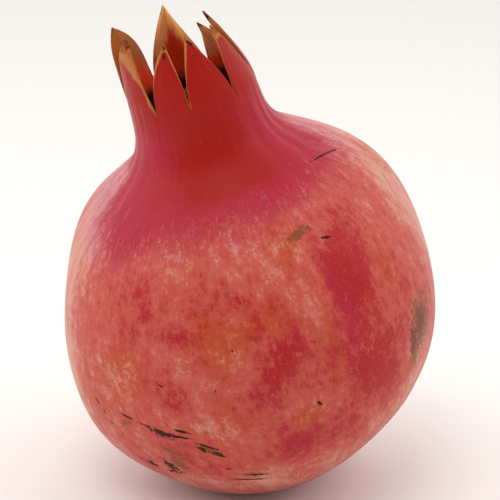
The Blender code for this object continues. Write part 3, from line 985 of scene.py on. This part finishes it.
def make_rind(look):
    """The whole rind: the body and neck up to the notches, the lobes, and the cup, a bowl whose radius and
    height follow a power of the cosine and sine of one angle."""
    surface = Surface()
    turns, notches, walls = [], [], []
    for index in range(len(LOBES)):
        left_azimuth, left_height, right_azimuth, right_height = lobe_edges(index)
        columns = lobe_columns(index)
        turns.append(np.linspace(left_azimuth, right_azimuth, columns)[:-1])
        notches.append(np.linspace(left_height, right_height, columns)[:-1])
        walls.append(wall_at_notches(np.linspace(0, 1, columns), right_azimuth - left_azimuth)[:-1])
    azimuth = np.append(np.concatenate(turns), turns[0][0] + 360)
    notch = np.append(np.concatenate(notches), notches[0][0])
    wall = np.append(np.concatenate(walls), walls[0][0])

    # Rows evenly spaced along the mean profile, closer together towards the neck
    fine = np.linspace(0, 2, 4001)
    radius, height = profile(fine, 0.0, MEAN_NOTCH)
    step = np.hypot(np.diff(radius), np.diff(height))
    walked = np.append(0, np.cumsum(step))
    weighted = np.append(0, np.cumsum(step * (1 + 0.6 * smoothstep(0.022, 0.040, height[1:]))))
    rows = np.interp(np.linspace(0, weighted[-1], BODY_ROWS + 1), weighted, fine)[:, None]
    along = np.interp(rows, fine, walked)
    radius, height = eased(*profile(rows, azimuth, notch), azimuth)
    radius = radius + relief(radius, azimuth, height, look)
    points = placed(radius, azimuth, height)
    points[..., 2] = np.maximum(points[..., 2], 0)
    surface.add(points, **rind_grid(radius, azimuth, height, along, 0.0, 0.0, 0.0))

    for index in range(len(LOBES)):
        add_lobe(surface, index, walked[-1], look)

    slope = np.linspace(0, np.pi / 2, CUP_ROWS + 1)[:, None]
    radius = (neck_radius(notch) - wall) * np.cos(slope) ** (2 / CUP_SQUARENESS)
    radius[-1] = 0
    height = notch - (notch - CUP_FLOOR) * np.sin(slope) ** (2 / CUP_SQUARENESS)
    level = 1 - (notch - height) / (notch - CUP_FLOOR)
    values = rind_grid(radius, azimuth, height, walked[-1] - (notch - height), 0.0, 1.0, level)
    surface.add(placed(radius, azimuth, height), **values)
    return surface.build("rind")


def tubes(paths, radii, sides):
    """Round tubes carried along many paths at once, an array of paths by steps by 3: each ring stands
    square to its path, on two directions made by cross products with the path's own direction."""
    ahead = np.gradient(paths, axis=1)
    ahead /= np.linalg.norm(ahead, axis=-1, keepdims=True)
    first = np.cross(ahead, (0.9, 0.3, 0.17))
    first /= np.linalg.norm(first, axis=-1, keepdims=True)
    second = np.cross(ahead, first)
    turn = np.linspace(0, 2 * np.pi, sides + 1)
    ring = first[..., None, :] * np.cos(turn)[:, None] + second[..., None, :] * np.sin(turn)[:, None]
    return paths[..., None, :] + radii[..., None, None] * ring


def make_stamens(look):
    """Dried stamens in a tuft on their disc. Roots follow the golden angle over the disc; each filament
    rises with a bend that grows as the square of the way up, and hooks over to its anther."""
    draw = np.random.default_rng(look.seed)
    count = look.count
    number = np.arange(count)
    turn = number * math.pi * (3 - math.sqrt(5)) + draw.uniform(-0.3, 0.3, count)
    reach = TUFT_RADIUS * np.sqrt((number + 4.0) / (count + 4.0))
    outward = stacked(np.cos(turn), np.sin(turn), 0.0)
    sideways = stacked(-np.sin(turn), np.cos(turn), 0.0)
    lean = outward * draw.uniform(-0.0018, 0.0006, (count, 1))
    lean = lean + sideways * draw.uniform(-0.0014, 0.0014, (count, 1))
    tall = draw.uniform(*STAMEN_HEIGHTS, (count, 1))
    step = np.array([0, 0, 0.25, 0.5, 0.72, 0.80, 0.86, 0.93, 0.98, 1.0, 1.0])
    hook = draw.normal(size=(count, 3)) * (1, 1, 0.3)
    hook *= HOOK_LENGTH / np.linalg.norm(hook, axis=1, keepdims=True)
    up = np.array([0, 0, 1.0])
    bend = smoothstep(0.72, 1.0, step)[None, :, None]
    rise = (tall * (step - 0.10 * smoothstep(0.75, 1.0, step)))[..., None] * up
    paths = (outward * reach[:, None])[:, None] + rise
    paths = paths + lean[:, None] * (step**2)[None, :, None] + hook[:, None] * bend
    nudge = np.linspace(0, 1e-5, len(step))[None, :, None] * up
    shape = np.array([0, 1.3, 1.0, 0.9, 0.8, 1.0, 2.2, 2.5, 1.9, 1.1, 0])
    radii = look.filament_radius * shape * draw.uniform(0.85, 1.2, (count, 1))
    rings = tubes(paths + nudge + (0, 0, STAMEN_DISC_THICKNESS / 2), radii, 6)

    surface = Surface()
    origin = np.array([crown_shift(CUP_FLOOR), 0, CUP_FLOOR + STAMEN_LIFT])
    tint = draw.uniform(0, 1, count)
    for strand, shade in zip(rings, tint):
        part = stacked(step[:, None], shade, 0.0 * strand[..., 0])
        surface.add(to_world(strand + origin), part=part)

    # Style in the middle, with its knob, then the disc as a lens
    style_step = np.array([0, 0, 0.5, 0.82, 0.90, 0.97, 1.0, 1.0])
    style_radius = STYLE_RADIUS * np.array([0, 1.5, 1.0, 1.0, 1.8, 1.8, 1.0, 0])
    style_path = stacked(STYLE_LEAN * style_step**2, 0.0, STYLE_HEIGHT * style_step)
    style_path[:, 2] += np.linspace(0, 1e-5, len(style_step)) + STAMEN_DISC_THICKNESS / 2
    knob = tubes(style_path[None], style_radius[None], 10)[0]
    part = stacked(style_step[:, None] * 0.9, 0.4, 0.0 * knob[..., 0])
    surface.add(to_world(knob + origin), part=part)
    slope = np.linspace(-np.pi / 2, np.pi / 2, 17)[:, None]
    turn = np.linspace(0, 2 * np.pi, 61)
    rim = STAMEN_DISC_RADIUS * (1 - 0.03 * np.cos(7 * turn) ** 2) * np.cos(slope) ** 0.4
    rim[[0, -1]] = 0
    thickness = STAMEN_DISC_THICKNESS / 2 * (1 + np.sin(slope))
    lens = stacked(rim * np.cos(turn), rim * np.sin(turn), thickness)
    part = stacked(0 * rim, 0.5, 1.0)
    surface.add(to_world(lens + origin), part=part)
    return surface.build("dried_stamens")


def stamen_material(look):
    """Dried filaments and anthers, brittle plant fibre: matte amber stalks that darken to brown anthers."""
    material, tree, shader = new_material("dried stamen fibre")
    along, tint, disc = carried(tree, "part")
    position = add(tree, "TexCoord", out="Object")
    # Specks of about half a millimetre
    specks = add(tree, "TexNoise", {"Vector": position, "Scale": 1800.0, "Detail": 3.0, "Roughness": 0.6})
    darker = weighed(tree, [(along, 1.0), (tint, 0.25), (specks, 0.4)], -0.3)
    base = layered(
        tree,
        look.stalk,
        (look.anther, tint, 0.4, 1.0, 0.5),
        (look.anther, darker, 0.72, 0.86),
        (look.anther, disc, 0.4, 0.6, 0.75),
        (look.stalk, specks, 0.58, 0.70, 0.45),
    )
    bump = add(tree, "Bump", {"Height": specks, "Distance": 0.0001, "Strength": 0.6})
    finish = {"Base Color": base, "Roughness": 0.75, "Specular IOR Level": 0.3, "Normal": bump}
    fill(tree, shader, finish)
    return material


def make_stem(look):
    """The cut stem: a round peg with rounded rims. Its outline is a superellipse of the slope, and the
    bark's ridges are a sum of two cosines of the turn, faded out on the faces."""
    turn = np.linspace(0, 2 * np.pi, 73)
    slope = np.linspace(-np.pi / 2, np.pi / 2, 41)[:, None]
    side = np.abs(np.cos(slope)) ** STEM_SIDE_POWER
    top_to_foot = np.sign(np.sin(slope)) * np.abs(np.sin(slope)) ** STEM_FACE_POWER
    flare = 1 + (STEM_FLARE - 1) * (1 - top_to_foot) / 2
    bark = look.ridge_depth * (np.cos(5 * turn + 1.1) * 0.6 + np.cos(13 * turn) * 0.4 - 0.9)
    radius = side * (STEM_RADIUS * flare + bark * smoothstep(0.7, 1.0, side))
    radius[[0, -1]] = 0
    lift = DIMPLE_DEPTH - BODY_BOTTOM - GAP - STEM_LENGTH / 2
    height = STEM_LENGTH / 2 * top_to_foot + 0 * turn
    face = 1 - smoothstep(0.90, 1.0, side) + 0 * turn
    points = stacked(radius * np.cos(turn), radius * np.sin(turn), height + lift)
    part = stacked(face, radius / STEM_RADIUS, 0.0)
    surface = Surface()
    surface.add(to_world(points), part=part)
    return surface.build("cut_stem")


def stem_material(look):
    """Cut twig of the tree, weathered: rough grey-brown bark and a paler cut face with growth rings."""
    material, tree, shader = new_material("weathered cut twig")
    face, away, _ = carried(tree, "part")
    position = add(tree, "TexCoord", out="Object")
    # Bark flakes of about 0.7 mm, and rings about 0.5 mm apart
    flakes = add(tree, "TexNoise", {"Vector": position, "Scale": 1400.0, "Detail": 5.0, "Roughness": 0.7})
    warped = weighed(tree, [(away, 30.0), (flakes, 6.0)])
    rings = add(tree, "Math", {0: warped}, operation="SINE")
    wood = layered(tree, look.wood, (look.bark, rings, 0.0, 1.0, 0.5))
    base = layered(tree, look.bark, (look.wood, flakes, 0.52, 0.66, 0.5), (wood, face))
    bump = add(tree, "Bump", {"Height": flakes, "Distance": 0.0002, "Strength": 0.8})
    finish = {"Base Color": base, "Roughness": 0.85, "Specular IOR Level": 0.25, "Normal": bump}
    fill(tree, shader, finish)
    return material


def floor_material(look):
    """Matte pale board: an even near-white with no gloss."""
    material, tree, shader = new_material("matte pale board")
    fill(tree, shader, {"Base Color": look.floor_colour, "Roughness": 0.9, "Specular IOR Level": 0.1})
    return material


def make_floor():
    """A flat square grid, a hair under the fruit's rest spot."""
    across = np.linspace(-FLOOR_SIZE / 2, FLOOR_SIZE / 2, 9)
    surface = Surface()
    surface.add(stacked(across, across[:, None], -FLOOR_GAP))
    return surface.build("floor", closed=False)


def light_surround(look):
    """A white studio all round, darker on the camera's side, so that the front of the fruit keeps its
    depth of colour and its sides catch a pale sheen."""
    world = bpy.data.worlds.new("white studio")
    bpy.context.scene.world = world
    world.use_nodes = True
    tree = world.node_tree
    background = tree.nodes["Background"]
    towards = (0, -math.cos(look.elevation), math.sin(look.elevation))
    direction = add(tree, "TexCoord", out="Generated")
    facing = add(tree, "VectorMath", {0: direction, 1: towards}, out="Value", operation="DOT_PRODUCT")
    span = {"Value": facing, "From Min": 0.10, "From Max": 0.95, "To Min": look.surround}
    span["To Max"] = NEAR_SHARE * look.surround
    strength = add(tree, "MapRange", span, interpolation_type="SMOOTHSTEP")
    fill(tree, background, {"Color": linear("#FFFCFA"), "Strength": strength})


def add_softbox(name, azimuth, elevation, size, power):
    """A square soft light that looks at the fruit's middle from an azimuth and an elevation."""
    lamp = bpy.data.lights.new(name, "AREA")
    lamp.shape = "SQUARE"
    lamp.size = size
    lamp.energy = power
    lamp.color = linear("#FFFAF5")[:3]
    stand = bpy.data.objects.new(name, lamp)
    away = Vector(directions(azimuth, elevation))
    target = Vector((0, 0, HEIGHT / 2))
    stand.location = target + away * LIGHT_DISTANCE
    stand.rotation_euler = (-away).to_track_quat("-Z", "Y").to_euler()
    bpy.context.scene.collection.objects.link(stand)


def aim_camera(look):
    """The camera at the photograph's angle, its frame moved so that the middle of the body stands left of
    and below the middle."""
    pixel = look.distance / (look.lens / SENSOR_WIDTH * FRAME_PIXELS)
    ahead = Vector((0, math.cos(look.elevation), -math.sin(look.elevation)))
    above = Vector((0, math.sin(look.elevation), math.cos(look.elevation)))
    camera = bpy.data.objects.new("camera", bpy.data.cameras.new("camera"))
    camera.data.lens = look.lens
    camera.data.sensor_width = SENSOR_WIDTH
    camera.data.clip_start = 0.01
    aside = (Vector((PIXELS_LEFT, 0, 0)) + above * PIXELS_BELOW) * pixel
    camera.location = Vector(BODY_CENTRE) - ahead * look.distance + aside
    camera.rotation_euler = (math.pi / 2 - look.elevation, 0, 0)
    bpy.context.scene.collection.objects.link(camera)
    bpy.context.scene.camera = camera


class POMEGRANATE_OT_rind(bpy.types.Operator):
    """Build the rind with its neck and crown"""

    bl_idname = "pomegranate.rind"
    bl_label = "Rind and Crown"

    def execute(self, context):
        look = context.scene.pomegranate_rind
        show(make_rind(look), "fruit", rind_material(look))
        return {"FINISHED"}


class POMEGRANATE_OT_stamens(bpy.types.Operator):
    """Build the dried stamens in the crown's cup"""

    bl_idname = "pomegranate.stamens"
    bl_label = "Dried Stamens"

    def execute(self, context):
        look = context.scene.pomegranate_stamens
        show(make_stamens(look), "stamens", stamen_material(look))
        return {"FINISHED"}


class POMEGRANATE_OT_stem(bpy.types.Operator):
    """Build the cut stem under the fruit"""

    bl_idname = "pomegranate.stem"
    bl_label = "Cut Stem"

    def execute(self, context):
        look = context.scene.pomegranate_stem
        show(make_stem(look), "stem_stub", stem_material(look))
        return {"FINISHED"}


class POMEGRANATE_OT_stage(bpy.types.Operator):
    """Set up the floor, the soft light and the camera"""

    bl_idname = "pomegranate.stage"
    bl_label = "Stage"

    def execute(self, context):
        look = context.scene.pomegranate_stage
        context.scene.view_settings.view_transform = "Standard"
        floor = make_floor()
        floor.data.materials.append(floor_material(look))
        context.scene.collection.objects.link(floor)
        light_surround(look)
        for name, azimuth, elevation, size, power in SOFTBOXES:
            add_softbox(name, azimuth, elevation, size * HEIGHT, power * look.softbox)
        aim_camera(look)
        return {"FINISHED"}


class POMEGRANATE_PT_build(bpy.types.Panel):
    """Builds the fruit piece by piece"""

    bl_idname = "POMEGRANATE_PT_build"
    bl_label = "Pomegranate"
    bl_space_type = "VIEW_3D"
    bl_region_type = "UI"
    bl_category = "Pomegranate"

    def draw(self, context):
        for step, group in STEPS:
            box = self.layout.box()
            box.operator(f"pomegranate.{step}")
            settings = getattr(context.scene, f"pomegranate_{step}")
            for name in group.__annotations__:
                box.prop(settings, name)


STEPS = (
    ("rind", RindSettings),
    ("stamens", StamenSettings),
    ("stem", StemSettings),
    ("stage", StageSettings),
)
CLASSES = (
    RindSettings,
    StamenSettings,
    StemSettings,
    StageSettings,
    POMEGRANATE_OT_rind,
    POMEGRANATE_OT_stamens,
    POMEGRANATE_OT_stem,
    POMEGRANATE_OT_stage,
    POMEGRANATE_PT_build,
)


def register():
    for made in CLASSES:
        bpy.utils.register_class(made)
    for step, group in STEPS:
        setattr(bpy.types.Scene, f"pomegranate_{step}", PointerProperty(type=group))


def unregister():
    for step, _ in STEPS:
        delattr(bpy.types.Scene, f"pomegranate_{step}")
    for made in reversed(CLASSES):
        bpy.utils.unregister_class(made)


def main():
    register()
    bpy.ops.pomegranate.rind()
    bpy.ops.pomegranate.stamens()
    bpy.ops.pomegranate.stem()
    bpy.ops.pomegranate.stage()


if __name__ == "__main__":
    main()
